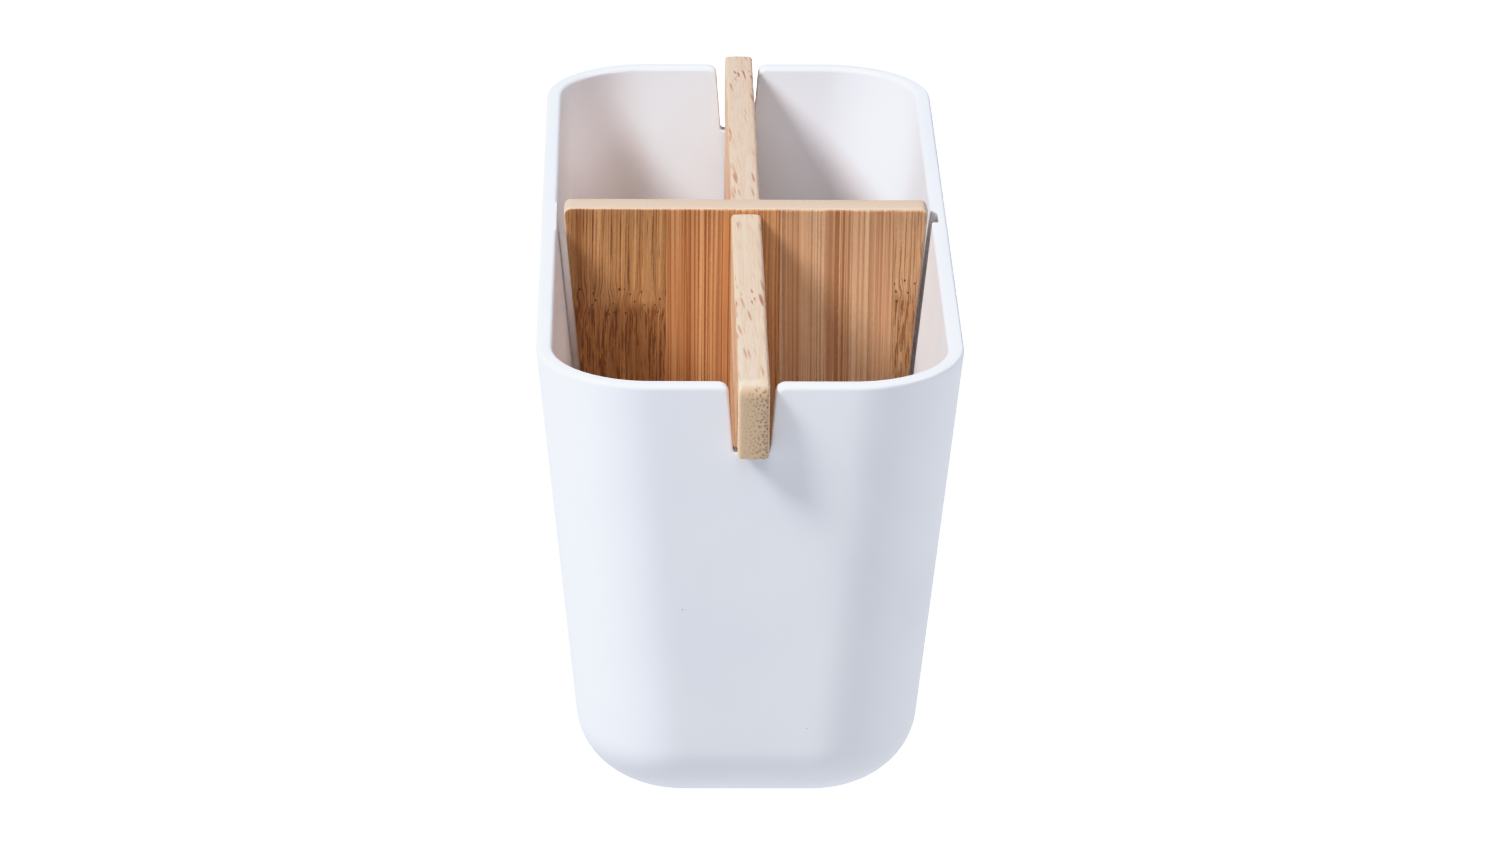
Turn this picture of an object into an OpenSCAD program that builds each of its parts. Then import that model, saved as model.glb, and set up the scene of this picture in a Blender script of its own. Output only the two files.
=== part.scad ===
// Long desk pen holder: one moulded cup and two bamboo dividers that lap over each other.
// Origin: middle of the footprint, on the table. +X across, +Y along the long side, +Z up.

/* [Cup] */
// Outside width of the rim, along X
cup_w = 82; // [80:0.5:90]
// Outside length of the rim, along Y
cup_l = 195; // [180:1:230]
// Height of the rim above the table
cup_h = 92; // [90:1:110]
// Distance that each wall leans in between rim and table
wall_lean = 9; // [7:0.5:10]
// Plan radius of the upright corners at the rim
rim_corner_r = 22; // [20:0.5:26]
// Plan radius of the upright corners at the table
foot_corner_r = 20; // [18:0.5:22]
// Radius of the rounded edge between the walls and the base
base_edge_r = 13.5; // [11:0.5:14]
// Thickness of the walls and the floor
wall_t = 3.2; // [2.8:0.1:3.6]
// Rounding of the rim's outer edge
rim_edge_r = 0.9; // [0.5:0.1:1.2]
// Chamfer of the rim's inner edge
rim_chamfer = 0.6; // [0.3:0.1:0.8]
// Depth of the recess inside the standing ring
foot_recess = 0.8; // [0.4:0.1:1.2]
// Width of the standing ring
foot_ring_w = 5; // [3:0.5:6]

/* [End notches] */
// Height of the notch floor
notch_floor_z = 78; // [74:0.5:82]
// Width of the notch at its floor
notch_floor_w = 6.9; // [6.8:0.1:8]
// Width of the notch at the rim, before its mouth is rounded
notch_top_w = 8.8; // [8.2:0.1:10]
// Rounding of the two mouth corners
notch_mouth_r = 2; // [1:0.25:3]

/* [Side grooves] */
// Width of the guide grooves in the side walls
groove_w = 6.6; // [6.4:0.1:7.5]
// Depth of the groove in the right wall
groove_depth = 1.4; // [0.8:0.1:1.6]
// Depth of the groove in the left wall
shallow_groove_depth = 0.5; // [0.3:0.1:0.8]
// Distance that the left groove stops below the rim
shallow_groove_stop = 2; // [1:0.5:4]
// Height of the lower end of both grooves
groove_foot_z = 20; // [16:1:30]

/* [Dividers] */
// Thickness of both bamboo boards
board_t = 6; // [5.5:0.1:6]
// Height of the lower edges of both boards
board_foot_z = 4.2; // [4:0.1:8]
// Sideways offset of both boards, which is the play that the notches leave
board_x = 0.3; // [0:0.05:0.3]
// Place of the cross divider along the cup
cross_y = -2; // [-10:0.5:10]
// Height where the two half slots meet
lap_z = 48.8; // [40:0.1:56]
// Clearance on each side of a half slot, and between the slots' ends
lap_gap = 0.2; // [0.15:0.05:0.3]
// Radius of the lower corners, which clear the rounded inside of the cup
board_corner_r = 12; // [11:0.5:16]

/* [Cross divider] */
// Height of the cross divider's upper edge
cross_top_z = 94.7; // [93:0.1:98]
// Width of the cross divider at its upper edge
cross_top_w = 73.7; // [72:0.1:74]
// Width of the cross divider at its lower edge
cross_foot_w = 57; // [54:0.1:57.2]
// Radius of its upper corners
cross_corner_r = 1.5; // [0.5:0.25:3]
// Width of the first bamboo strip, at the left end
cross_first_strip_w = 20.8; // [16:0.1:23]
// Width of the full bamboo strips
strip_w = 23; // [20:0.5:24]

/* [Long divider] */
// Height of the long divider's upper edge
long_top_z = 93.5; // [92.5:0.1:94]
// Distance that the ears reach past the rim at both ends
ear_reach = 2.7; // [0:0.1:5]
// Height of the lower edges of the ears
ear_floor_z = 78.3; // [78.2:0.1:82]
// Radius of the ears' upper corners
ear_corner_r = 3; // [1:0.25:4]
// Gap between the board's ends and the end walls
long_end_gap = 1; // [0.6:0.1:2]
// Height of the topmost bamboo strip
long_first_strip_w = 20; // [18:0.5:23]

/* [Hidden] */

$fn = 48;
eps = 0.01;
arc_step = 15;
lean_angle = atan(wall_lean / cup_h);

cup_colour = [0.90, 0.91, 0.94];
strip_light = [0.84, 0.68, 0.47];
strip_dark = [0.78, 0.60, 0.38];

cross_left_x = board_x - cross_top_w / 2;
seam_1_x = cross_left_x + cross_first_strip_w;
seam_2_x = seam_1_x + strip_w;
seam_3_x = seam_2_x + strip_w;
cross_right_x = board_x + cross_top_w / 2;

seam_top_z = long_top_z - long_first_strip_w;
seam_upper_z = seam_top_z - strip_w;
seam_lower_z = seam_upper_z - strip_w;

ear_y = cup_l / 2 + ear_reach;
slot_w = board_t + 2 * lap_gap;

// Half width, half length and corner radius of the outer skin at height z
function half_w(z) = cup_w / 2 - wall_lean * (1 - z / cup_h);
function half_l(z) = cup_l / 2 - wall_lean * (1 - z / cup_h);
function corner_r(z) = foot_corner_r + (rim_corner_r - foot_corner_r) * z / cup_h;

// Points of an arc about (x, y), both ends included
function arc(x, y, r, from, to) =
    [for (i = [0 : 6]) let (a = from + (to - from) * i / 6) [x + r * cos(a), y + r * sin(a)]];

// The points of a right-hand side, followed by their mirror image in reverse
function both_sides(points) =
    concat(points, [for (i = [len(points) - 1 : -1 : 0]) [-points[i][0], points[i][1]]]);

// ---- Cup ----

// A thin slice of the cup's outline at height z, drawn in by inset
module slice(z, inset) {
    r = corner_r(z) - inset;
    x = half_w(z) - inset - r;
    y = half_l(z) - inset - r;
    for (sx = [-1, 1], sy = [-1, 1])
        translate([sx * x, sy * y, z]) cylinder(r = r, h = eps);
}

module outer_body() {
    hull() {
        for (a = [0 : arc_step : 90])
            slice(base_edge_r * (1 - sin(a)), base_edge_r * (1 - cos(a)));
        for (a = [0 : 2 * arc_step : 90])
            slice(cup_h - eps - rim_edge_r * (1 - sin(a)), rim_edge_r * (1 - cos(a)));
    }
}

module cavity() {
    inner_r = base_edge_r - wall_t;
    hull() {
        for (a = [0 : arc_step : 90])
            slice(wall_t + inner_r * (1 - sin(a)), wall_t + inner_r * (1 - cos(a)));
        slice(cup_h + 1, wall_t);
    }
    hull() {
        slice(cup_h - rim_chamfer, wall_t);
        slice(cup_h + rim_chamfer, wall_t - 2 * rim_chamfer);
    }
}

module rounded_rectangle(w, l, r) {
    square([w, l - 2 * r], center = true);
    square([w - 2 * r, l], center = true);
    for (sx = [-1, 1], sy = [-1, 1])
        translate([sx * (w / 2 - r), sy * (l / 2 - r)]) circle(r = r);
}

// Recess that leaves a flat ring to stand on
module base_recess() {
    inset = base_edge_r + foot_ring_w;
    translate([0, 0, -eps]) linear_extrude(foot_recess + eps)
        rounded_rectangle(2 * (half_w(0) - inset), 2 * (half_l(0) - inset), 3);
}

// Open notch that widens upwards and has rounded mouth corners, cut through both end walls
module end_notches() {
    lean = atan((notch_top_w - notch_floor_w) / 2 / (cup_h - notch_floor_z));
    mouth_z = cup_h - notch_mouth_r;
    mouth_x = notch_top_w / 2 + notch_mouth_r;
    right_side = concat(
        [[notch_floor_w / 2, notch_floor_z]],
        arc(mouth_x, mouth_z, notch_mouth_r, 180 - lean, 90),
        [[mouth_x, cup_h + 1]]
    );
    translate([0, cup_l, 0]) rotate([90, 0, 0])
        linear_extrude(2 * cup_l) polygon(both_sides(right_side));
}

// Upright groove that follows the lean of a side wall; side is 1 for the right wall, -1 for the left
module side_groove(side, depth, stop) {
    inner_x = cup_w / 2 - wall_t;
    length = cup_h - groove_foot_z - stop;
    translate([side * inner_x, cross_y, cup_h])
        rotate([0, side * lean_angle, 0])
            translate([-depth, -groove_w / 2, -stop - length])
                cube([2 * depth, groove_w, length + (stop > 0 ? 0 : 1)]);
}

module cup_shell() {
    color(cup_colour) difference() {
        outer_body();
        cavity();
        base_recess();
        end_notches();
        side_groove(1, groove_depth, 0);
        side_groove(-1, shallow_groove_depth, shallow_groove_stop);
    }
}

// ---- Cross divider ----

// Front view: leaning ends, small upper corners, large lower corners, half slot open at the bottom
module cross_outline() {
    lean = atan((cross_top_w - cross_foot_w) / 2 / (cross_top_z - board_foot_z));
    foot_r = board_corner_r;
    top_r = cross_corner_r;
    foot_x = cross_foot_w / 2 + foot_r * tan(lean) - foot_r / cos(lean);
    top_x = cross_top_w / 2 - top_r * tan(lean) - top_r / cos(lean);
    right_side = concat(
        arc(foot_x, board_foot_z + foot_r, foot_r, -90, -lean),
        arc(top_x, cross_top_z - top_r, top_r, -lean, 90)
    );
    difference() {
        polygon(both_sides(right_side));
        translate([-slot_w / 2, 0]) square([slot_w, lap_z + lap_gap]);
    }
}

// The bamboo strip of the cross divider between two glue lines
module cross_strip(from_x, to_x, colour) {
    color(colour) intersection() {
        translate([board_x, cross_y + board_t / 2, 0]) rotate([90, 0, 0])
            linear_extrude(board_t) cross_outline();
        translate([from_x, cross_y - board_t, 0]) cube([to_x - from_x, 2 * board_t, cup_h + 20]);
    }
}

module cross_strip_left() { cross_strip(cross_left_x - 1, seam_1_x, strip_dark); }
module cross_strip_slotted() { cross_strip(seam_1_x, seam_2_x, strip_light); }
module cross_strip_right() { cross_strip(seam_2_x, seam_3_x, strip_light); }
module cross_strip_end() { cross_strip(seam_3_x, cross_right_x + 1, strip_dark); }

// ---- Long divider ----

// Side view: ears that rest in the end notches, ends that follow the walls, half slot open at the top
module long_outline() {
    foot_r = board_corner_r;
    end_y = half_l(board_foot_z) - wall_t - long_end_gap;
    shoulder_y = half_l(ear_floor_z) - wall_t - long_end_gap;
    foot_y = end_y + foot_r * tan(lean_angle) - foot_r / cos(lean_angle);
    ear_r = ear_corner_r;
    right_side = concat(
        arc(foot_y, board_foot_z + foot_r, foot_r, -90, -lean_angle),
        [[shoulder_y, ear_floor_z], [ear_y, ear_floor_z]],
        arc(ear_y - ear_r, long_top_z - ear_r, ear_r, 0, 90)
    );
    difference() {
        polygon(both_sides(right_side));
        translate([cross_y - slot_w / 2, lap_z - lap_gap]) square([slot_w, cup_h]);
    }
}

// The bamboo strip of the long divider between two heights and two places along Y
module long_strip(from_z, to_z, from_y, to_y, colour) {
    color(colour) intersection() {
        translate([board_x - board_t / 2, 0, 0]) rotate([90, 0, 90])
            linear_extrude(board_t) long_outline();
        translate([board_x - board_t, from_y, from_z])
            cube([2 * board_t, to_y - from_y, to_z - from_z]);
    }
}

module long_top_strip_front() { long_strip(seam_top_z, cup_h + 20, -cup_l, cross_y, strip_light); }
module long_top_strip_rear() { long_strip(seam_top_z, cup_h + 20, cross_y, cup_l, strip_light); }
module long_upper_strip_front() { long_strip(seam_upper_z, seam_top_z, -cup_l, cross_y, strip_dark); }
module long_upper_strip_rear() { long_strip(seam_upper_z, seam_top_z, cross_y, cup_l, strip_dark); }
module long_lower_strip() { long_strip(seam_lower_z, seam_upper_z, -cup_l, cup_l, strip_light); }
module long_foot_strip() { long_strip(0, seam_lower_z, -cup_l, cup_l, strip_dark); }

cup_shell();
cross_strip_left();
cross_strip_slotted();
cross_strip_right();
cross_strip_end();
long_top_strip_front();
long_top_strip_rear();
long_upper_strip_front();
long_upper_strip_rear();
long_lower_strip();
long_foot_strip();
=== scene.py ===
"""Looks of the desk pen holder: one moulded shell and two boards glued up from bamboo strips."""

import math
from collections import namedtuple

import bmesh
import bpy
from mathutils import Matrix, Vector


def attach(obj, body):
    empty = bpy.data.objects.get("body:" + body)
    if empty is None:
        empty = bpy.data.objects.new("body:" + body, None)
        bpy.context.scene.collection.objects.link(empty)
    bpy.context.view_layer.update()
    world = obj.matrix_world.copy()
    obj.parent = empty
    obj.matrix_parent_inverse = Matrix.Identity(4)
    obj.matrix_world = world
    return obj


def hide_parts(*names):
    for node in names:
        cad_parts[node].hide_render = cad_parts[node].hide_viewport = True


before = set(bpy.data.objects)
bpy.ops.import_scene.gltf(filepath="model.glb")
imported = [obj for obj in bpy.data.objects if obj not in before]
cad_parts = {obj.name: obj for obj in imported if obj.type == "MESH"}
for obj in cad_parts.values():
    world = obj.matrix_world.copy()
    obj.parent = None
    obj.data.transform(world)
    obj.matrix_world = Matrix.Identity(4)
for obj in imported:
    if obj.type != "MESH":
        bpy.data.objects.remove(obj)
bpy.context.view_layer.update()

MM = 0.001

# ---- Cup, in millimetres ----
# Sizes and places are the CAD source's. Edges are rounded more finely, and the grooves' ends fade out.
CUP_HALF_W = 41.0
CUP_HALF_L = 97.5
CUP_H = 92.0
WALL_LEAN = 9.0
RIM_CORNER_R = 22.0
FOOT_CORNER_R = 20.0
BASE_EDGE_R = 13.5
WALL_T = 3.2
FOOT_RING_W = 5.0
FOOT_RECESS = 0.8
RIM_EDGE_R = 0.9
NOTCH_EDGE_R = 0.45
# Distance of the supporting row of vertices from the edge, and length of the level strip past a mouth
EDGE_SUPPORT = 1.35
PAST_MOUTH = 1.2
# The flat rows beside the base edge's rounding, on the standing ring and on the inner floor, are this far in
FLAT_INSET = 0.6
# The rounded step from the recess to the standing ring: height, and distance inwards from the step
RECESS_STEP = (
    (FOOT_RECESS, 0.5), (FOOT_RECESS - 0.06, 0.2), (FOOT_RECESS - 0.25, 0.0),
    (0.3, 0.0), (0.08, -0.08), (0.0, -0.3),
)

NOTCH_FLOOR_Z = 78.0
NOTCH_HALF_W = 3.45
NOTCH_LEAN = math.radians(4.5)
NOTCH_CORNER_R = 0.7
MOUTH_R = 2.0
MOUTH_X = 6.4
# The notch's edge starts to grow as round as the rim's this far under the mouth's arc
MOUTH_BLEND = 1.0

GROOVE_HALF_W = 3.3
GROOVE_DEPTH = 1.4
GROOVE_CORNER_R = 0.6
GROOVE_MOUTH_R = 0.4
GROOVE_EDGE_R = 0.3
LEFT_GROOVE_SHARE = 0.36
GROOVE_FOOT = (19.0, 23.0)
LEFT_GROOVE_HEAD = (87.8, 90.2)

# Zone in the middle of each wall whose columns keep their place, and where they fan out to the notch
MIDDLE_W = 9.0
FAN_Z = 70.0
FAN_SHARES = (0.7, 0.45, 0.28, 0.16, 0.07, 0.0)
# Numbers of steps along the corners, rounded edges, plain lengths of side wall and arcs
CORNER_STEPS = 20
ARC_STEPS = 5
SIDE_STEPS = 7
BASE_STEPS = 12
INNER_STEPS = 10
NOTCH_STEPS = 5
NOTCH_MOUTH_STEPS = 8
GROOVE_STEPS = 4
GROOVE_MOUTH_STEPS = 5
# Places of the columns between a notch and the corner, and on a notch's straight side, as shares
END_SHARES = (0.0, 0.33, 0.67)
NOTCH_SIDE_SHARES = (0.25, 0.5, 0.75)
# Heights of the plain rows of the outer and the inner skin
OUTER_HEIGHTS = (20.0, 32.0, 45.0, 58.0, FAN_Z)
INNER_HEIGHTS = (FAN_Z, 58.0, 45.0, 33.0, 25.0, 23.0, 22.2, 21.4, 20.6, 19.8, 19.0, 17.0)

# ---- Boards, in millimetres, also the CAD source's sizes and places ----
BOARD_HALF_T = 3.0
BOARD_FOOT_Z = 4.2
BOARD_X = 0.3
CROSS_Y = -2.0
SLOT_HALF_W = 3.2
CROSS_SLOT_TOP = 49.0
LONG_SLOT_FLOOR = 48.6
FOOT_R = 12.0
CROSS_TOP_Z = 94.7
CROSS_TOP_HALF_W = 36.85
CROSS_FOOT_HALF_W = 28.5
CROSS_CORNER_R = 1.5
CROSS_SEAMS = (-15.75, 7.25, 30.25)
LONG_TOP_Z = 93.5
LONG_SEAMS = (73.5, 50.5, 27.5)
EAR_Y = 100.2
EAR_FLOOR_Z = 78.3
EAR_CORNER_R = 3.0
LONG_END_GAP = 1.0
SEAM_R = 0.015
SLOT_EDGE_R = 0.3
LONG_EDGE_R = 0.75
# The cross divider's top edge is rounded more towards its right end
CROSS_EDGE_R_LEFT = 0.4
CROSS_EDGE_R_RIGHT = 0.7
CROWN_SHARE = 0.14
# Points closer than this are one point, and edges that turn by less than this sine count as straight
SAME_POINT = 1e-4
NEARLY_STRAIGHT = 0.35
# Numbers of steps along the feet, the cross divider's top edge and corners, and the ears' corners
FOOT_STEPS = 12
TOP_STEPS = 12
CROSS_CORNER_STEPS = 8
EAR_STEPS = 10
# Further out than any board reaches
BEYOND = 100.0
LAYERS = (3.0, 2.99, 2.95, 2.87, 2.74, 2.56, 2.32, 2.0, 1.2, 0.0)

# Edges that turn by more than this are shaded as sharp
SHARP_ANGLE = math.radians(38)
# How strongly larger faces pull the shading normals, in the modifier's own 1 to 100
NORMALS_WEIGHT = 90

# ---- Camera, in millimetres and degrees ----
CAMERA_AT = (-22.18, -1183.23, 510.09)
CAMERA_YAW = 1.151
CAMERA_PITCH = 21.388
CAMERA_ROLL = 0.561
CAMERA_LENS = 148.95


def lerp(a, b, share):
    return a + (b - a) * share


def smoothstep(low, high, value):
    t = min(1.0, max(0.0, (value - low) / (high - low)))
    return t * t * (3 - 2 * t)


def arc(x, y, r, start, end, steps):
    """Points of an arc about (x, y) with the direction from its centre: (x, y, cos, sin)."""
    angles = [lerp(start, end, i / steps) for i in range(steps + 1)]
    return [(x + r * math.cos(a), y + r * math.sin(a), math.cos(a), math.sin(a)) for a in angles]


def new_object(name, mesh_builder):
    """A smooth-shaded mesh object made from a bmesh in millimetres."""
    bmesh.ops.scale(mesh_builder, vec=(MM, MM, MM), verts=mesh_builder.verts)
    for edge in mesh_builder.edges:
        edge.smooth = edge.calc_face_angle(0.0) < SHARP_ANGLE
    mesh = bpy.data.meshes.new(name)
    mesh_builder.to_mesh(mesh)
    mesh_builder.free()
    for polygon in mesh.polygons:
        polygon.use_smooth = True
    obj = bpy.data.objects.new(name, mesh)
    bpy.context.scene.collection.objects.link(obj)
    return obj


def weighted_normals(obj):
    modifier = obj.modifiers.new("weighted_normals", "WEIGHTED_NORMAL")
    modifier.weight = NORMALS_WEIGHT
    modifier.keep_sharp = True


# ---- The moulded cup ----

# One upright line of vertices. place is a distance from the wall's middle where edge is set, and
# otherwise a share of the way to the corner, or the corner's angle. edge is the line's point on the
# notch's edge or the groove's outline, with the direction into the plastic.
Station = namedtuple("Station", "kind side_x side_y place edge edge_r")


def notch_edge():
    """Half of an end notch's edge, from its middle outwards, as (x, z, into x, into z)."""
    lean = NOTCH_LEAN
    corner_x = NOTCH_HALF_W + NOTCH_CORNER_R * (math.tan(lean) - 1 / math.cos(lean))
    corner_z = NOTCH_FLOOR_Z + NOTCH_CORNER_R
    corner = arc(corner_x, corner_z, NOTCH_CORNER_R, -math.pi / 2, -lean, NOTCH_STEPS)
    centre_z = CUP_H - MOUTH_R
    mouth = arc(MOUTH_X, centre_z, MOUTH_R, math.pi - lean, math.pi / 2, NOTCH_MOUTH_STEPS)
    mouth = [(x, z, -nx, -nz) for x, z, nx, nz in mouth]
    foot, head = corner[-1], mouth[0]
    side = [
        (lerp(foot[0], head[0], s), lerp(foot[1], head[1], s), head[2], head[3])
        for s in NOTCH_SIDE_SHARES
    ]
    flat = [(MOUTH_X + PAST_MOUTH, CUP_H, 0.0, -1.0)]
    return [(0.0, NOTCH_FLOOR_Z, 0.0, -1.0)] + corner + side + mouth + flat


def groove_edge():
    """Half of a guide groove's outline, from its middle, as (along, depth, into along, into depth)."""
    floor_x = GROOVE_HALF_W - GROOVE_CORNER_R
    centre = GROOVE_DEPTH - GROOVE_CORNER_R
    corner = arc(floor_x, centre, GROOVE_CORNER_R, math.pi / 2, 0, GROOVE_STEPS)
    mouth_x = GROOVE_HALF_W + GROOVE_MOUTH_R
    mouth = arc(mouth_x, GROOVE_MOUTH_R, GROOVE_MOUTH_R, math.pi, 1.5 * math.pi, GROOVE_MOUTH_STEPS)
    mouth = [(s, g, -ns, -ng) for s, g, ns, ng in mouth]
    return [(0.0, GROOVE_DEPTH, 0.0, 1.0)] + corner + mouth + [(mouth_x + PAST_MOUTH, 0.0, 0.0, 1.0)]


def end_stations(side_y):
    """Stations of the right half of an end wall, from its middle to the corner."""
    edge = notch_edge()
    count = len(edge)
    made = []
    for i, point in enumerate(edge):
        in_mouth = smoothstep(CUP_H - MOUTH_R - MOUTH_BLEND, CUP_H, point[1])
        radius = lerp(NOTCH_EDGE_R, RIM_EDGE_R, in_mouth)
        place = MIDDLE_W * math.sqrt(i / count)
        made.append(Station("end", 1, side_y, place, point, radius))
    for share in END_SHARES:
        made.append(Station("end", 1, side_y, share, None, RIM_EDGE_R))
    return made


def corner_stations(side_y):
    """Stations of a right-hand corner, from the end wall to the side wall."""
    angles = [math.pi / 2 * (1 - i / CORNER_STEPS) for i in range(CORNER_STEPS + 1)]
    return [Station("corner", 1, side_y, a, None, RIM_EDGE_R) for a in angles]


def side_stations():
    """Stations of the right side wall, from the front corner to the rear one."""
    half = groove_edge()
    count = len(half)
    plain = [i / SIDE_STEPS for i in range(1, SIDE_STEPS)] + [1.0]
    made = [Station("side", 1, -1, share, None, RIM_EDGE_R) for share in plain]
    radii = [GROOVE_EDGE_R] * (count - 1) + [(GROOVE_EDGE_R + RIM_EDGE_R) / 2]
    for i in range(count - 1, 0, -1):
        s, g, ns, ng = half[i]
        made.append(Station("side", 1, 1, -MIDDLE_W * i / count, (-s, g, -ns, ng), radii[i]))
    for i in range(count):
        made.append(Station("side", 1, 1, MIDDLE_W * i / count, half[i], radii[i]))
    made += [Station("side", 1, 1, share, None, RIM_EDGE_R) for share in plain[::-1]]
    return made


def all_stations():
    """The whole ring, anticlockwise from the middle of the front wall."""
    front = end_stations(-1) + corner_stations(-1)
    rear = end_stations(1) + corner_stations(1)
    right = front + side_stations() + rear[::-1]
    left = [s._replace(side_x=-1) for s in right[-2:0:-1]]
    return right + left


def section(z):
    """Half width, half length and corner radius of the outer skin at height z."""
    drawn_in = WALL_LEAN * (1 - z / CUP_H)
    return CUP_HALF_W - drawn_in, CUP_HALF_L - drawn_in, lerp(FOOT_CORNER_R, RIM_CORNER_R, z / CUP_H)


def skin_point(station, z, inset):
    """Where a station crosses height z, with the outer skin drawn in by inset."""
    half_w, half_l, r = section(z)
    if station.kind == "corner":
        x = half_w - r + (r - inset) * math.cos(station.place)
        y = station.side_y * (half_l - r + (r - inset) * math.sin(station.place))
    elif station.kind == "end":
        x = station.place if station.edge else lerp(MIDDLE_W, half_w - r, station.place)
        y = station.side_y * (half_l - inset)
    else:
        x = half_w - inset
        middle = CROSS_Y + station.side_y * MIDDLE_W
        y = lerp(station.side_y * (half_l - r), middle, station.place)
        if station.edge:
            y = CROSS_Y + station.place
    return Vector((station.side_x * x, y, z))


def groove_share(station, z):
    """How much of the guide groove there is at height z."""
    share = smoothstep(*GROOVE_FOOT, z)
    if station.side_x < 0:
        share *= 1 - smoothstep(*LEFT_GROOVE_HEAD, z)
    return share


def inner_point(station, z, grow):
    """Where a station crosses height z on the inner skin, moved into the wall by grow."""
    point = skin_point(station, z, WALL_T - grow)
    share = groove_share(station, z)
    if station.kind != "side" or not station.edge or share == 0:
        return point
    s, g, into_s, into_g = station.edge
    depth = g * share * (LEFT_GROOVE_SHARE if station.side_x < 0 else 1.0)
    point.y = CROSS_Y + lerp(station.place, s, share) + grow * into_s * share
    point.x += station.side_x * (depth + grow * (into_g - 1) * share)
    return point


def notch_point(station, into, share, inset):
    """A point of an end wall that far into the plastic from the notch's edge, share of the way to FAN_Z."""
    x, z, into_x, into_z = station.edge
    x = lerp(x + into * into_x, station.place, share)
    z = lerp(z + into * into_z, FAN_Z, share)
    half_l = section(z)[1]
    return Vector((station.side_x * x, station.side_y * (half_l - inset), z))


def wall_point(station, into, share, inner, inset):
    """A point near the rim. inset is measured into the wall from its outer or inner skin."""
    if station.kind == "end" and station.edge:
        return notch_point(station, into, share, WALL_T - inset if inner else inset)
    z = lerp(CUP_H - into, FAN_Z, share)
    return inner_point(station, z, inset) if inner else skin_point(station, z, inset)


def edge_radius(station, inner):
    """How far the top of the rim is rounded here. A groove changes the rounding of its own side only."""
    return RIM_EDGE_R if station.kind == "side" and not inner else station.edge_r


def arris_rows(stations, inner):
    """The rounded edge between a skin and the top of the rim, from the skin to the top."""
    rows = []
    for i in range(ARC_STEPS + 1):
        angle = math.pi / 2 * i / ARC_STEPS
        inset, into = 1 - math.cos(angle), 1 - math.sin(angle)
        row = []
        for station in stations:
            radius = edge_radius(station, inner)
            row.append(wall_point(station, radius * into, 0, inner, radius * inset))
        rows.append(row)
    return rows


def fan_rows(stations, inner):
    """Rows between FAN_Z and the support row under the edge."""
    return [[wall_point(s, EDGE_SUPPORT, w, inner, 0) for s in stations] for w in FAN_SHARES]


def outer_rows(stations):
    """From the recess under the base, over the standing ring and the base edge, up to FAN_Z."""
    recess = BASE_EDGE_R + FOOT_RING_W
    profile = [(z, recess + past) for z, past in RECESS_STEP] + [(0.0, BASE_EDGE_R + FLAT_INSET)]
    for i in range(BASE_STEPS + 1):
        angle = math.pi / 2 * (1 - i / BASE_STEPS)
        profile.append((BASE_EDGE_R * (1 - math.sin(angle)), BASE_EDGE_R * (1 - math.cos(angle))))
    profile += [(z, 0.0) for z in OUTER_HEIGHTS]
    return [[skin_point(s, z, inset) for s in stations] for z, inset in profile]


def inner_rows(stations):
    """From FAN_Z down the inside, past the grooves' lower ends, to the floor."""
    rows = [[inner_point(s, z, 0) for s in stations] for z in INNER_HEIGHTS]
    inner_r = BASE_EDGE_R - WALL_T
    for i in range(INNER_STEPS + 1):
        angle = math.pi / 2 * i / INNER_STEPS
        z = WALL_T + inner_r * (1 - math.sin(angle))
        inset = WALL_T + inner_r * (1 - math.cos(angle))
        rows.append([skin_point(s, z, inset) for s in stations])
    rows.append([skin_point(s, WALL_T, BASE_EDGE_R + FLAT_INSET) for s in stations])
    return rows


def build_cup():
    stations = all_stations()
    outer_edge = arris_rows(stations, False)
    inner_edge = arris_rows(stations, True)
    rim = [[a.lerp(b, 0.5) for a, b in zip(outer_edge[-1], inner_edge[-1])]]
    rows = outer_rows(stations) + fan_rows(stations, False) + outer_edge + rim
    rows += inner_edge[::-1] + fan_rows(stations, True)[::-1] + inner_rows(stations)
    mesh_builder = bmesh.new()
    grid = [[mesh_builder.verts.new(point) for point in row] for row in rows]
    count = len(stations)
    for low, high in zip(grid, grid[1:]):
        for i in range(count):
            j = (i + 1) % count
            mesh_builder.faces.new((low[i], low[j], high[j], high[i]))
    caps = [mesh_builder.faces.new(grid[0][::-1]), mesh_builder.faces.new(grid[-1])]
    bmesh.ops.triangulate(mesh_builder, faces=caps, ngon_method="BEAUTY")
    cup = new_object("cup", mesh_builder)
    weighted_normals(cup)
    return cup


# ---- The bamboo boards ----

def clip(outline, axis, limit, keep):
    """The part of an outline on one side of limit.

    A point is (a, b, radius of the edge that starts there).
    """
    kept = []
    for here, there in zip(outline, outline[1:] + outline[:1]):
        depth_here, depth_there = keep * (here[axis] - limit), keep * (there[axis] - limit)
        if depth_here >= 0:
            kept.append(here)
        if (depth_here > 0 > depth_there) or (depth_here < 0 < depth_there):
            share = depth_here / (depth_here - depth_there)
            cut = [lerp(here[0], there[0], share), lerp(here[1], there[1], share)]
            kept.append((*cut, SEAM_R if depth_here > 0 else here[2]))
        elif depth_here == 0 and depth_there < 0:
            kept[-1] = (here[0], here[1], SEAM_R)
    return without_doubles(kept)


def without_doubles(outline):
    """The outline with only the last of any points that lie on each other."""
    following = outline[1:] + outline[:1]
    return [p for p, q in zip(outline, following) if math.dist(p[:2], q[:2]) > SAME_POINT]


def edge_inset(radius, height):
    """How far an edge of this rounding is drawn in at this distance from the board's middle."""
    inset = CROWN_SHARE * radius * (height / BOARD_HALF_T) ** 2
    past = abs(height) - (BOARD_HALF_T - radius)
    if past > 0:
        inset += radius - math.sqrt(max(0.0, radius * radius - past * past))
    return inset


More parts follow.
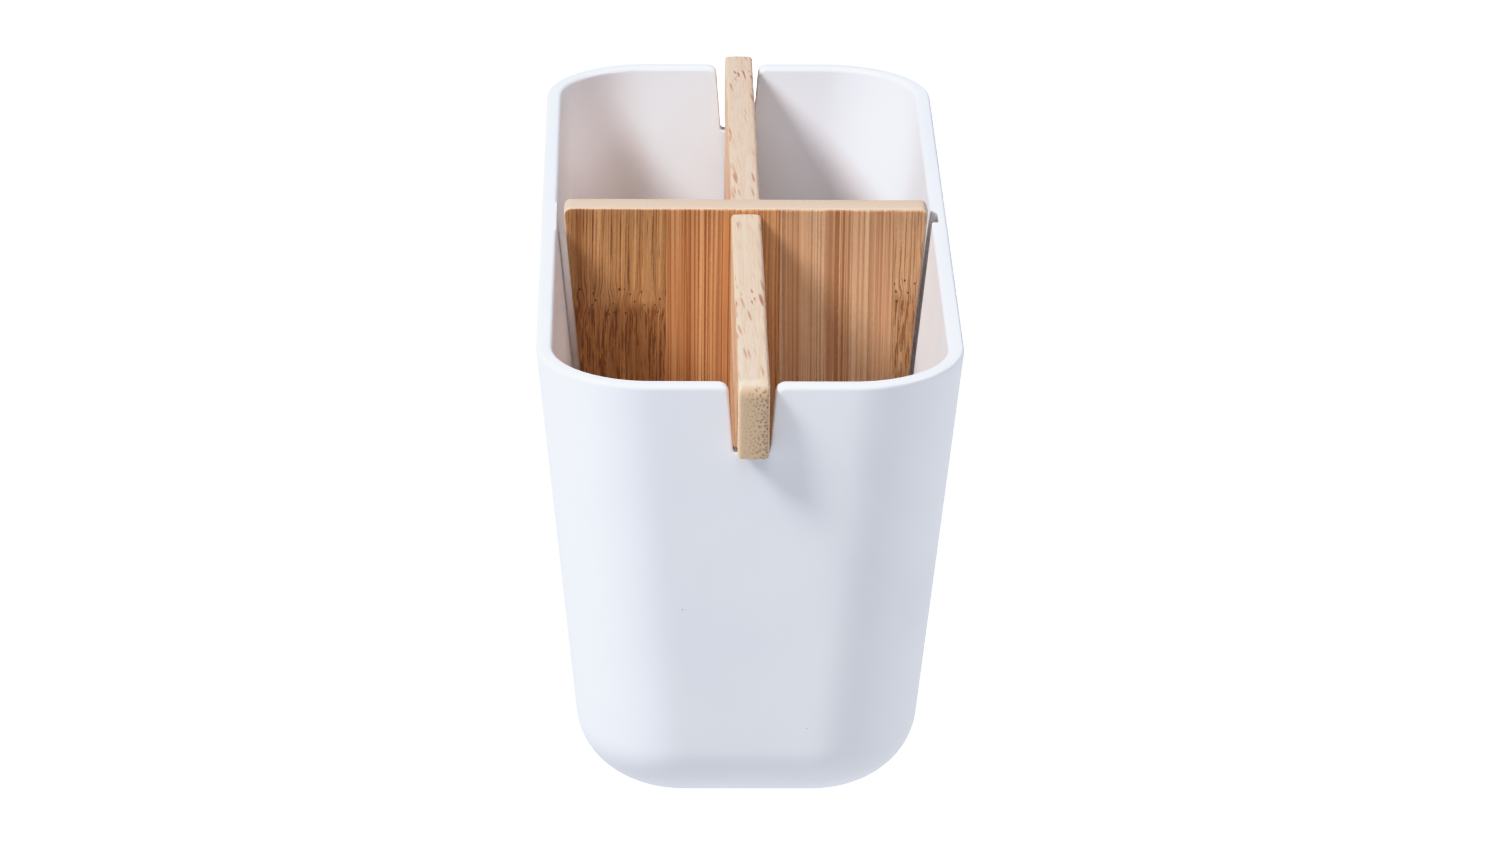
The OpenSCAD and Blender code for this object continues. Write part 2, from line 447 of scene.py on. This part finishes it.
def drawn_in(outline, height):
    """The outline at a distance from the board's middle, with every edge moved in by its own inset."""
    ring = []
    count = len(outline)
    for i in range(count):
        before, here, after = outline[i - 1], outline[i], outline[(i + 1) % count]
        n1 = Vector((here[1] - before[1], before[0] - here[0])).normalized()
        n2 = Vector((after[1] - here[1], here[0] - after[0])).normalized()
        d1, d2 = edge_inset(before[2], height), edge_inset(here[2], height)
        cross = n1.x * n2.y - n1.y * n2.x
        if abs(cross) < NEARLY_STRAIGHT:
            move = (n1 + n2).normalized() * (d1 + d2) / 2
        else:
            move = Vector((d1 * n2.y - d2 * n1.y, d2 * n1.x - d1 * n2.x)) / cross
        ring.append((here[0] - move.x, here[1] - move.y))
    return ring


def build_strip(name, outline, place):
    """A board's strip from its outline. place turns (a, b, distance from the middle) into a point."""
    heights = list(LAYERS) + [-h for h in LAYERS[-2::-1]]
    mesh_builder = bmesh.new()
    grid = []
    for height in heights:
        ring = drawn_in(outline, height)
        grid.append([mesh_builder.verts.new(place(a, b, height)) for a, b in ring])
    count = len(outline)
    for near, far in zip(grid, grid[1:]):
        for i in range(count):
            j = (i + 1) % count
            mesh_builder.faces.new((near[j], near[i], far[i], far[j]))
    mesh_builder.faces.new(grid[0])
    mesh_builder.faces.new(grid[-1][::-1])
    strip = new_object(name, mesh_builder)
    weighted_normals(strip)
    return strip


def cross_place(a, b, height):
    return Vector((a, CROSS_Y - height, b))


def long_place(a, b, height):
    return Vector((BOARD_X + height, a, b))


def cross_outline():
    """Front view of the cross divider, with the slot that opens at the bottom."""
    rise = CROSS_TOP_Z - BOARD_FOOT_Z
    lean = math.atan((CROSS_TOP_HALF_W - CROSS_FOOT_HALF_W) / rise)
    foot_x = CROSS_FOOT_HALF_W + FOOT_R * (math.tan(lean) - 1 / math.cos(lean))
    top_x = CROSS_TOP_HALF_W - CROSS_CORNER_R * (math.tan(lean) + 1 / math.cos(lean))
    foot = arc(foot_x, BOARD_FOOT_Z + FOOT_R, FOOT_R, -math.pi / 2, -lean, FOOT_STEPS)
    head_z = CROSS_TOP_Z - CROSS_CORNER_R
    head = arc(top_x, head_z, CROSS_CORNER_R, -lean, math.pi / 2, CROSS_CORNER_STEPS)
    right = [(p[0], p[1], CROSS_EDGE_R_LEFT) for p in foot]
    right += [(p[0], p[1], CROSS_EDGE_R_RIGHT) for p in head]
    top = []
    for i in range(1, TOP_STEPS):
        share = i / TOP_STEPS
        radius = lerp(CROSS_EDGE_R_RIGHT, CROSS_EDGE_R_LEFT, share)
        top.append((lerp(top_x, -top_x, share), CROSS_TOP_Z, radius))
    left = [(-p[0], p[1], CROSS_EDGE_R_LEFT) for p in head[::-1]]
    left += [(-p[0], p[1], CROSS_EDGE_R_LEFT) for p in foot[::-1]]
    slot = [
        (-SLOT_HALF_W, BOARD_FOOT_Z, SLOT_EDGE_R), (-SLOT_HALF_W, CROSS_SLOT_TOP, SLOT_EDGE_R),
        (SLOT_HALF_W, CROSS_SLOT_TOP, SLOT_EDGE_R), (SLOT_HALF_W, BOARD_FOOT_Z, LONG_EDGE_R),
    ]
    return [(x + BOARD_X, z, r) for x, z, r in right + top + left + slot]


def long_outline():
    """Side view of the long divider, with its ears and the slot that opens at the top."""
    lean = math.atan(WALL_LEAN / CUP_H)
    end_y = section(BOARD_FOOT_Z)[1] - WALL_T - LONG_END_GAP
    shoulder_y = section(EAR_FLOOR_Z)[1] - WALL_T - LONG_END_GAP
    foot_y = end_y + FOOT_R * (math.tan(lean) - 1 / math.cos(lean))
    foot = arc(foot_y, BOARD_FOOT_Z + FOOT_R, FOOT_R, -math.pi / 2, -lean, FOOT_STEPS)
    centre_y, centre_z = EAR_Y - EAR_CORNER_R, LONG_TOP_Z - EAR_CORNER_R
    head = arc(centre_y, centre_z, EAR_CORNER_R, 0, math.pi / 2, EAR_STEPS)
    rear = [(p[0], p[1]) for p in foot] + [(shoulder_y, EAR_FLOOR_Z), (EAR_Y, EAR_FLOOR_Z)]
    rear += [(p[0], p[1]) for p in head]
    slot = [
        (CROSS_Y + SLOT_HALF_W, LONG_TOP_Z, SLOT_EDGE_R),
        (CROSS_Y + SLOT_HALF_W, LONG_SLOT_FLOOR, SLOT_EDGE_R),
        (CROSS_Y - SLOT_HALF_W, LONG_SLOT_FLOOR, SLOT_EDGE_R),
        (CROSS_Y - SLOT_HALF_W, LONG_TOP_Z, LONG_EDGE_R),
    ]
    rear = [(y, z, LONG_EDGE_R) for y, z in rear]
    front = [(-y, z, LONG_EDGE_R) for y, z, _ in rear[::-1]]
    return rear + slot + front


def build_cross_strips():
    board = cross_outline()
    limits = (-BEYOND,) + CROSS_SEAMS + (BEYOND,)
    names = ("cross_strip_left", "cross_strip_slotted", "cross_strip_right", "cross_strip_end")
    strips = {}
    for name, low, high in zip(names, limits, limits[1:]):
        outline = clip(clip(board, 0, low, 1), 0, high, -1)
        strips[name] = build_strip(name.replace("cross_strip", "cross_bamboo"), outline, cross_place)
    return strips


def build_long_strips():
    board = long_outline()
    top, upper, lower = LONG_SEAMS
    front, rear = CROSS_Y - SLOT_HALF_W, CROSS_Y + SLOT_HALF_W
    parts = {
        "long_top_strip_front": ((1, top, 1), (0, front, -1)),
        "long_top_strip_rear": ((1, top, 1), (0, rear, 1)),
        "long_upper_strip_front": ((1, upper, 1), (1, top, -1), (0, front, -1)),
        "long_upper_strip_rear": ((1, upper, 1), (1, top, -1), (0, rear, 1)),
        "long_lower_strip": ((1, lower, 1), (1, upper, -1)),
        "long_foot_strip": ((1, lower, -1),),
    }
    strips = {}
    for name, cuts in parts.items():
        outline = board
        for axis, limit, keep in cuts:
            outline = clip(outline, axis, limit, keep)
        strips[name] = build_strip(name.replace("strip", "bamboo"), outline, long_place)
    return strips


# ---- Materials ----

def srgb(r, g, b):
    """A colour given as 0 to 255 display values, as the linear colour that a shader takes."""
    linear = []
    for value in (r / 255, g / 255, b / 255):
        linear.append(value / 12.92 if value <= 0.04045 else ((value + 0.055) / 1.055) ** 2.4)
    return (*linear, 1.0)


class Graph:
    """A material's node tree, with short calls that add and join nodes."""

    def __init__(self, name):
        self.material = bpy.data.materials.new(name)
        self.material.use_nodes = True
        self.tree = self.material.node_tree
        self.tree.nodes.clear()
        self.shader = self.tree.nodes.new("ShaderNodeBsdfPrincipled")
        output = self.tree.nodes.new("ShaderNodeOutputMaterial")
        self.tree.links.new(self.shader.outputs[0], output.inputs[0])

    def put(self, socket, value):
        if isinstance(value, bpy.types.NodeSocket):
            self.tree.links.new(value, socket)
        else:
            socket.default_value = value

    def math(self, operation, a, b=0.0, clamp=False):
        node = self.tree.nodes.new("ShaderNodeMath")
        node.operation = operation
        node.use_clamp = clamp
        self.put(node.inputs[0], a)
        self.put(node.inputs[1], b)
        return node.outputs[0]

    def position(self):
        """Object coordinates in millimetres: x, y, z."""
        coordinates = self.tree.nodes.new("ShaderNodeTexCoord")
        split = self.tree.nodes.new("ShaderNodeSeparateXYZ")
        self.put(split.inputs[0], coordinates.outputs["Object"])
        return [self.math("MULTIPLY", axis, 1 / MM) for axis in split.outputs]

    def facing(self):
        """How far the surface faces along x, y and z, each from 0 to 1."""
        coordinates = self.tree.nodes.new("ShaderNodeTexCoord")
        split = self.tree.nodes.new("ShaderNodeSeparateXYZ")
        self.put(split.inputs[0], coordinates.outputs["Normal"])
        return [self.math("ABSOLUTE", axis) for axis in split.outputs]

    def vector(self, x, y, z):
        node = self.tree.nodes.new("ShaderNodeCombineXYZ")
        for socket, value in zip(node.inputs, (x, y, z)):
            self.put(socket, value)
        return node.outputs[0]

    def scaled(self, axes, scales, shift=(0.0, 0.0, 0.0)):
        """The three axes, each times its scale plus its shift, as one vector."""
        parts = []
        for axis, scale, move in zip(axes, scales, shift):
            node = self.tree.nodes.new("ShaderNodeMath")
            node.operation = "MULTIPLY_ADD"
            self.put(node.inputs[0], axis)
            self.put(node.inputs[1], scale)
            self.put(node.inputs[2], move)
            parts.append(node.outputs[0])
        return self.vector(*parts)

    def noise(self, vector, detail=2.0, roughness=0.5):
        node = self.tree.nodes.new("ShaderNodeTexNoise")
        self.put(node.inputs["Vector"], vector)
        self.put(node.inputs["Scale"], 1.0)
        self.put(node.inputs["Detail"], detail)
        self.put(node.inputs["Roughness"], roughness)
        return node.outputs["Fac"]

    def cells(self, vector, randomness=1.0, flat=False):
        """Distance to the nearest cell point, and a random value for each cell."""
        node = self.tree.nodes.new("ShaderNodeTexVoronoi")
        node.voronoi_dimensions = "2D" if flat else "3D"
        self.put(node.inputs["Vector"], vector)
        self.put(node.inputs["Scale"], 1.0)
        self.put(node.inputs["Randomness"], randomness)
        split = self.tree.nodes.new("ShaderNodeSeparateXYZ")
        self.put(split.inputs[0], node.outputs["Color"])
        return node.outputs["Distance"], split.outputs[0]

    def fade(self, value, start, end, low=0.0, high=1.0):
        """low where value is at start, high where it is at end, smooth between and level beyond."""
        node = self.tree.nodes.new("ShaderNodeMapRange")
        node.interpolation_type = "SMOOTHSTEP"
        for key, number in (("From Min", start), ("From Max", end), ("To Min", low), ("To Max", high)):
            self.put(node.inputs[key], number)
        self.put(node.inputs["Value"], value)
        return node.outputs["Result"]

    def mix(self, share, a, b, blend="MIX"):
        node = self.tree.nodes.new("ShaderNodeMix")
        node.data_type = "RGBA"
        node.blend_type = blend
        self.put(node.inputs["Factor"], share)
        self.put(node.inputs[6], a)
        self.put(node.inputs[7], b)
        return node.outputs[2]

    def bump(self, height, strength, distance):
        node = self.tree.nodes.new("ShaderNodeBump")
        self.put(node.inputs["Height"], height)
        self.put(node.inputs["Strength"], strength)
        self.put(node.inputs["Distance"], distance * MM)
        self.put(self.shader.inputs["Normal"], node.outputs[0])

    def set(self, name, value):
        self.put(self.shader.inputs[name], value)


def cup_material():
    """Satin bluish-white moulding with a few brown fibre specks."""
    g = Graph("moulded_white")
    axes = g.position()
    cloud = g.noise(g.scaled(axes, (0.03, 0.03, 0.03)), 3.0)
    base = g.mix(g.fade(cloud, 0.35, 0.65), srgb(*CUP_DIM), srgb(*CUP_CLEAR))
    distance, pick = g.cells(g.scaled(axes, (0.16, 0.16, 0.16)))
    grown = g.fade(pick, 0.55, 1.0, 0.0, 0.026)
    speck = g.math("LESS_THAN", distance, grown)
    colour = g.mix(speck, base, srgb(*CUP_SPECK))
    g.set("Base Color", colour)
    fine = g.noise(g.scaled(axes, (1.6, 1.6, 1.6)), 2.0)
    wave = g.noise(g.scaled(axes, (0.06, 0.06, 0.06)), 1.0)
    g.set("Roughness", g.fade(fine, 0.3, 0.7, 0.34, 0.40))
    g.set("IOR", 1.5)
    height = g.math("ADD", g.math("MULTIPLY", fine, 0.06), g.math("MULTIPLY", wave, 1.0))
    g.bump(height, 0.25, 0.12)
    return g.material


# Colours shared by the strips, and the cup's, as 0 to 255 display values
CUP_DIM = (231, 233, 238)
CUP_CLEAR = (235, 237, 241)
CUP_SPECK = (176, 146, 118)
FIBRE = (232, 194, 150)
NODE_PIT = (52, 28, 14)
EDGE_SHADE = (210, 180, 148)
EDGE_LINE = (190, 136, 92)
EDGE_FLECK = (156, 92, 48)
CUT_FIBRE = (118, 82, 54)

# A culm node's line wanders by up to this, in millimetres. Its band reaches so far, and its flecks so far
NODE_WANDER = 6.0
BAND_REACH = 6.0
FLECK_REACH = 22.0

# What sets one strip of bamboo apart. axes says which of x, y, z run along the grain, across the strip
# and through it. cream and cut are the colours of its sanded edges and its cut ends. dots is the number
# of cut fibre bundles per millimetre and how dark they are. light, dark and line are the colours of its
# faces. node is the place of its culm node along the grain, or None. broken is how far its lines break
# up into dashes.
Strip = namedtuple("Strip", "axes cream cut dots light dark line node broken seed")

CROSS = ((2, 0, 1), (200, 180, 164), (208, 184, 164), (1.35, 0.75))
LONG = ((1, 2, 0), (214, 193, 176), (196, 170, 138), (1.2, 0.85))
WARM = ((232, 178, 124), (202, 138, 84), (142, 70, 24))
PALE = ((230, 190, 150), (206, 154, 110), (150, 84, 38))
AMBER = ((216, 170, 126), (184, 132, 84), (124, 68, 28))
BROWN = ((218, 164, 108), (172, 114, 62), (98, 48, 16))
SAND = ((240, 212, 184), (224, 188, 154), (196, 146, 104))
STRIPS = {
    "cross_strip_left": Strip(*CROSS, *BROWN, 74.8, 1.0, 3.0),
    "cross_strip_slotted": Strip(*CROSS, *WARM, None, 0.0, 11.0),
    "cross_strip_right": Strip(*CROSS, *PALE, None, 0.0, 23.0),
    "cross_strip_end": Strip(*CROSS, *AMBER, 77.0, 0.9, 31.0),
    "long_top_strip_front": Strip(*LONG, *SAND, -52.0, 0.9, 47.0),
    "long_top_strip_rear": Strip(*LONG, *SAND, 86.0, 1.0, 59.0),
    "long_upper_strip_front": Strip(*LONG, *PALE, None, 0.1, 67.0),
    "long_upper_strip_rear": Strip(*LONG, *PALE, 40.0, 0.3, 71.0),
    "long_lower_strip": Strip(*LONG, *BROWN, -50.0, 0.7, 83.0),
    "long_foot_strip": Strip(*LONG, *WARM, 20.0, 0.2, 97.0),
}


def seed_shift(strip):
    """Moves the textures of a strip so that no two strips show the same grain."""
    return strip.seed, strip.seed * 1.7, strip.seed * 2.3


def node_band(g, along, across, strip, reach):
    """1 at the culm node, falling to 0 at reach on both sides of its wavy line."""
    wave = g.noise(g.scaled((across, along, across), (0.3, 0.0, 0.0), (strip.seed, 0.0, 0.0)), 2.0)
    height = g.math("ADD", along, g.math("MULTIPLY", wave, NODE_WANDER))
    distance = g.math("ABSOLUTE", g.math("SUBTRACT", height, strip.node + NODE_WANDER / 2))
    return g.fade(distance, 0.0, reach, 1.0, 0.0)


def bamboo_lines(g, axes, strip, past):
    """The dark fibre lines of a face: long and straight, or broken up into dashes past the node."""
    shift = seed_shift(strip)
    coarse = g.noise(g.scaled(axes, (0.003, 1.1, 1.1), shift), 2.0, 0.6)
    fine = g.noise(g.scaled(axes, (0.006, 3.4, 3.4), shift), 2.0, 0.6)
    line = g.math("MAXIMUM", g.fade(coarse, 0.54, 0.62), g.fade(fine, 0.51, 0.58))
    cluster = g.noise(g.scaled(axes, (0.003, 0.25, 0.25), shift), 1.0)
    line = g.math("MULTIPLY", line, g.fade(cluster, 0.3, 0.62, 0.45, 1.0))
    if strip.broken:
        long = g.fade(g.noise(g.scaled(axes, (0.04, 3.0, 3.0), shift), 3.0, 0.65), 0.53, 0.61)
        short = g.fade(g.noise(g.scaled(axes, (0.17, 2.9, 2.9), shift), 3.0, 0.65), 0.50, 0.56)
        broken = g.math("ADD", long, g.math("MULTIPLY", g.math("SUBTRACT", short, long), past))
        line = g.math("MAXIMUM", g.math("MULTIPLY", line, 1 - 0.6 * strip.broken), broken)
    return line


def node_spots(g, axes, strip, band):
    """The small dark pits along a culm node."""
    shift = (strip.seed, strip.seed, 0.0)
    distance, pick = g.cells(g.scaled(axes, (0.45, 0.55, 0.0), shift), 0.85, flat=True)
    pit = g.math("SUBTRACT", distance, g.fade(pick, 0.2, 1.0, 0.0, 0.05))
    pit = g.math("MULTIPLY", g.fade(pit, 0.03, 0.14, 1.0, 0.0), g.fade(pick, 0.25, 0.3))
    return g.math("MULTIPLY", pit, g.fade(band, 0.5, 0.65))


def end_dots(g, axes, strip):
    """Cut ends of the fibre bundles in slanting rows, denser towards the culm's outer skin."""
    slanted = g.math("ADD", axes[1], axes[2])
    crossed = g.math("SUBTRACT", axes[1], axes[2])
    size = strip.dots[0]
    distance, pick = g.cells(g.scaled((slanted, crossed, 0.0), (0.75 * size, size, 0.0)), 0.85, flat=True)
    ragged = g.noise(g.scaled((slanted, crossed, 0.0), (4.0, 4.0, 0.0)), 2.0, 0.6)
    distance = g.math("ADD", distance, g.math("MULTIPLY", g.math("SUBTRACT", ragged, 0.5), 0.5))
    skin = g.fade(axes[2], -BOARD_HALF_T, BOARD_HALF_T, 0.1, 0.3)
    dot = g.fade(g.math("SUBTRACT", distance, skin), -0.16, 0.16, 1.0, 0.0)
    dot = g.math("MULTIPLY", dot, g.fade(axes[2], -BOARD_HALF_T, BOARD_HALF_T, 0.45, 1.0))
    return g.math("MULTIPLY", dot, g.fade(pick, 0.0, 0.8, 0.5, 1.0))


def bamboo_material(name, strip):
    """Bamboo as a solid: fibre bundles run along the grain, so they show as lines, dashes or dots."""
    g = Graph("bamboo_" + name)
    place, facing = g.position(), g.facing()
    along, across, through = (place[i] for i in strip.axes)
    end, face = facing[strip.axes[0]], facing[strip.axes[2]]
    drift = g.noise(g.scaled((along, across, through), (0.012, 0.03, 0.03), (strip.seed,) * 3), 1.0)
    across = g.math("ADD", across, g.math("MULTIPLY", drift, 2.0))
    spot, past, near = 0.0, 0.0, 0.0
    if strip.node is not None:
        band = node_band(g, along, across, strip, BAND_REACH)
        swirl = g.noise(g.scaled((along, across, through), (0.16, 0.34, 0.34), (strip.seed,) * 3), 1.0)
        bend = g.math("MULTIPLY", g.math("SUBTRACT", swirl, 0.5), band)
        across = g.math("ADD", across, g.math("MULTIPLY", bend, 2.6))
        spot = node_spots(g, (along, across, through), strip, band)
        past = g.fade(along, strip.node + 1.0, strip.node - 3.0)
        near = node_band(g, along, across, strip, FLECK_REACH)
    axes = (along, across, through)
    shift = seed_shift(strip)
    tone = g.noise(g.scaled(axes, (0.005, 0.38, 0.38), shift), 2.0, 0.6)
    fibre = g.noise(g.scaled(axes, (0.03, 4.6, 4.6), shift), 2.0, 0.6)
    line = bamboo_lines(g, axes, strip, past)
    grain = g.noise(g.scaled(axes, (1.2, 6.5, 6.5), shift), 2.0, 0.6)

    lit = g.math("SUBTRACT", g.fade(tone, 0.34, 0.66), g.math("MULTIPLY", past, 0.5), clamp=True)
    face_colour = g.mix(lit, srgb(*strip.dark), srgb(*strip.light))
    face_colour = g.mix(g.fade(fibre, 0.4, 0.8, 0.0, 0.4), face_colour, srgb(*FIBRE))
    line = g.math("MULTIPLY", line, g.fade(grain, 0.3, 0.6, 0.7, 1.0))
    face_colour = g.mix(g.math("MULTIPLY", line, 0.95), face_colour, srgb(*strip.line))
    face_colour = g.mix(g.fade(grain, 0.35, 0.75, 0.0, 0.35), face_colour, srgb(*strip.dark))
    face_colour = g.mix(g.math("MULTIPLY", spot, 0.9), face_colour, srgb(*NODE_PIT))

    leaning = g.math("ADD", through, g.math("MULTIPLY", along, 0.1))
    flecks, fleck_pick = g.cells(g.scaled((along, across, leaning), (0.1, 1.35, 1.35), shift))
    patch = g.noise(g.scaled(axes, (0.03, 0.3, 0.3), shift), 1.0)
    crowd = g.math("MAXIMUM", g.fade(patch, 0.48, 0.62, 0.15, 0.8), near)
    fleck = g.math("MULTIPLY", g.fade(flecks, 0.24, 0.42, 1.0, 0.0), g.fade(fleck_pick, 0.2, 0.45))
    fleck = g.math("MULTIPLY", fleck, crowd)
    edge_colour = g.mix(g.fade(tone, 0.34, 0.66, 0.0, 0.35), srgb(*strip.cream), srgb(*EDGE_SHADE))
    edge_colour = g.mix(g.math("MULTIPLY", line, 0.22), edge_colour, srgb(*EDGE_LINE))
    edge_colour = g.mix(g.math("MULTIPLY", fleck, 0.8), edge_colour, srgb(*EDGE_FLECK))

    dot = end_dots(g, (along, across, through), strip)
    end_colour = g.mix(g.math("MULTIPLY", dot, strip.dots[1]), srgb(*strip.cut), srgb(*CUT_FIBRE))
    edge_colour = g.mix(g.fade(end, 0.6, 0.85), edge_colour, end_colour)
    g.set("Base Color", g.mix(g.fade(face, 0.6, 0.95), edge_colour, face_colour))
    g.set("Roughness", g.fade(fibre, 0.3, 0.7, 0.42, 0.56))
    g.set("IOR", 1.45)
    height = g.math("SUBTRACT", g.math("MULTIPLY", fibre, 0.5), g.math("MULTIPLY", line, 0.6))
    height = g.math("MULTIPLY", height, g.fade(end, 0.2, 0.6, 1.0, 0.1))
    height = g.math("SUBTRACT", height, spot)
    g.bump(height, 0.5, 0.1)
    return g.material


# ---- Stage, light and camera ----

FLOOR_HALF = 6.0
FLOOR_GLOW = 3.0
GROUND_GLOW = 0.95
SKY_GLOW = 0.03
LIGHT_AIM = (0.0, 0.0, 0.06)
LIGHT_REACH = 1.6
# The surroundings turn from bright to dim between this far under and over the horizon
HORIZON_BLEND = 0.06
SENSOR_WIDTH = 36.0
CLIP = (0.01, 50.0)
# How bright the picture shows a light level. Up to TRUE_UP_TO it is shown as it is. Levels 1 and 1.5 are
# shown as given here for red, green and blue, and the floor's glow is shown as full white.
TRUE_UP_TO = 0.76
LEVEL_ONE = (0.875, 0.895, 0.925)
LEVEL_ONE_HALF = (0.94, 0.95, 0.97)
COOL = (0.95, 0.99, 1.08)
# Softboxes: azimuth and elevation seen from the cup, size in metres, power in watts, colour
SOFTBOXES = {
    "key": (205.0, 48.0, 0.50, 32.5, (0.985, 1.0, 1.04)),
    "front_fill": (270.0, 45.0, 0.90, 5.6, COOL),
    "right_fill": (0.0, 45.0, 0.90, 10.6, COOL),
}


def build_floor():
    mesh_builder = bmesh.new()
    corners = [(-1, -1), (1, -1), (1, 1), (-1, 1)]
    verts = [mesh_builder.verts.new((x * FLOOR_HALF, y * FLOOR_HALF, 0)) for x, y in corners]
    mesh_builder.faces.new(verts)
    mesh = bpy.data.meshes.new("floor")
    mesh_builder.to_mesh(mesh)
    mesh_builder.free()
    floor = bpy.data.objects.new("floor", mesh)
    bpy.context.scene.collection.objects.link(floor)
    g = Graph("floor_white")
    g.set("Base Color", (0.3, 0.3, 0.3, 1.0))
    g.set("Roughness", 0.9)
    g.set("Emission Color", (1.0, 1.0, 1.0, 1.0))
    g.set("Emission Strength", FLOOR_GLOW)
    mesh.materials.append(g.material)
    floor.visible_diffuse = False
    floor.visible_glossy = False


def build_world():
    """Soft studio surroundings: bright below the horizon, as over a white sweep, and dim above it."""
    world = bpy.data.worlds.new("studio")
    bpy.context.scene.world = world
    world.use_nodes = True
    tree = world.node_tree
    coordinates = tree.nodes.new("ShaderNodeTexCoord")
    split = tree.nodes.new("ShaderNodeSeparateXYZ")
    glow = tree.nodes.new("ShaderNodeMapRange")
    tree.links.new(coordinates.outputs["Generated"], split.inputs[0])
    tree.links.new(split.outputs["Z"], glow.inputs["Value"])
    for key, number in (("From Min", -HORIZON_BLEND), ("From Max", HORIZON_BLEND)):
        glow.inputs[key].default_value = number
    for key, number in (("To Min", GROUND_GLOW), ("To Max", SKY_GLOW)):
        glow.inputs[key].default_value = number
    background = tree.nodes["Background"]
    background.inputs["Color"].default_value = (*COOL, 1.0)
    tree.links.new(glow.outputs["Result"], background.inputs["Strength"])


def add_softbox(name, azimuth, elevation, size, power, colour):
    data = bpy.data.lights.new(name, "AREA")
    data.shape = "DISK"
    data.size = size
    data.energy = power
    data.color = colour
    light = bpy.data.objects.new(name, data)
    bpy.context.scene.collection.objects.link(light)
    azimuth, elevation = math.radians(azimuth), math.radians(elevation)
    level = math.cos(elevation)
    away = Vector((math.cos(azimuth) * level, math.sin(azimuth) * level, math.sin(elevation)))
    light.rotation_euler = away.to_track_quat("Z", "Y").to_euler()
    light.location = Vector(LIGHT_AIM) + away * LIGHT_REACH


def build_camera():
    yaw, pitch, roll = (math.radians(a) for a in (CAMERA_YAW, CAMERA_PITCH, CAMERA_ROLL))
    level = math.cos(pitch)
    forward = Vector((math.sin(yaw) * level, math.cos(yaw) * level, -math.sin(pitch)))
    right = Vector((math.cos(yaw), -math.sin(yaw), 0.0))
    up = right.cross(forward)
    turned_right = right * math.cos(roll) + up * math.sin(roll)
    turned_up = up * math.cos(roll) - right * math.sin(roll)
    data = bpy.data.cameras.new("camera")
    data.lens = CAMERA_LENS
    data.sensor_width = SENSOR_WIDTH
    data.clip_start, data.clip_end = CLIP
    camera = bpy.data.objects.new("camera", data)
    bpy.context.scene.collection.objects.link(camera)
    axes = Matrix((turned_right, turned_up, -forward)).transposed()
    camera.matrix_world = Matrix.Translation(Vector(CAMERA_AT) * MM) @ axes.to_4x4()
    bpy.context.scene.camera = camera


def set_camera_response():
    """Rolls the highlights off, so that lit white stays apart from the white background."""
    settings = bpy.context.scene.view_settings
    settings.view_transform = "Standard"
    settings.use_curve_mapping = True
    response = settings.curve_mapping
    response.clip_max_x = FLOOR_GLOW
    for curve, one, one_half in zip(response.curves, LEVEL_ONE, LEVEL_ONE_HALF):
        curve.points[1].location = (FLOOR_GLOW, 1.0)
        for level in (TRUE_UP_TO / 2, TRUE_UP_TO):
            curve.points.new(level, level)
        curve.points.new(1.0, one)
        curve.points.new(1.5, one_half)
    response.update()


def dress(obj, material, body, node):
    """Gives a piece its material, ties it to the CAD body and hides the CAD node that it stands for."""
    obj.data.materials.append(material)
    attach(obj, body)
    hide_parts(node)


def main():
    dress(build_cup(), cup_material(), "cup", "cup_shell")
    for node, strip in build_cross_strips().items():
        dress(strip, bamboo_material(node, STRIPS[node]), "cross_divider", node)
    for node, strip in build_long_strips().items():
        dress(strip, bamboo_material(node, STRIPS[node]), "long_divider", node)
    build_floor()
    build_world()
    for name, setting in SOFTBOXES.items():
        add_softbox(name, *setting)
    build_camera()
    set_camera_response()


main()
